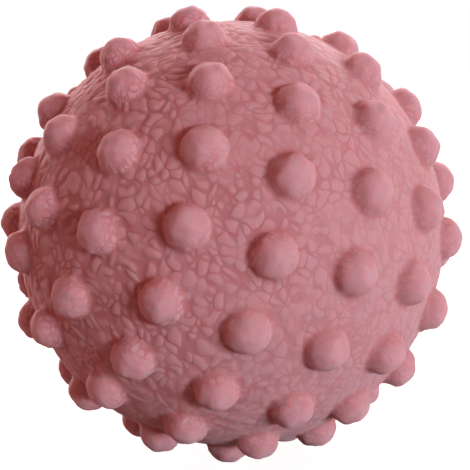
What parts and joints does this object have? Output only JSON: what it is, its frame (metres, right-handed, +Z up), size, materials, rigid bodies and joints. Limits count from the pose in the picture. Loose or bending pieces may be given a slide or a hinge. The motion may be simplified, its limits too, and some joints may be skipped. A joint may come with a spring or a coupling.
{
  "type": "sensory ball",
  "caption": "Soft hollow ball for a baby's hand, with a pebbled skin, rounded nubs in rings all over it and a squeaker pressed into one pole.",
  "frame": {"origin": "centre of the ball", "axes": "+Z up when the ball rests on three of its nubs, +X level and towards the side that the squeaker looks out of, so the pole axis runs through the XZ plane, tilted a little below +X"},
  "size_m": [0.0745, 0.0738, 0.0737],
  "materials": {
    "soft_rubber": "matte pebbled skin, dusty pink right through",
    "white_plastic": "moulded white polyethylene",
    "natural_plastic": "moulded uncoloured polyethylene",
    "reed_film": "clear polyester film"
  },
  "bodies": {
    "ball": {"shell": "soft_rubber", "squeaker_housing": "white_plastic", "reed_seat": "natural_plastic", "reed_clip": "natural_plastic"},
    "reed": {"reed": "reed_film"}
  },
  "joints": [
    {"name": "reed_flutter", "type": "hinge", "parent": "ball", "child": "reed", "pos_m": [0.02861, 0, -0.01046], "axis": [0, 1, 0], "range_deg": [0, 8], "stiffness_Nm_per_rad": 0.0001}
  ]
}
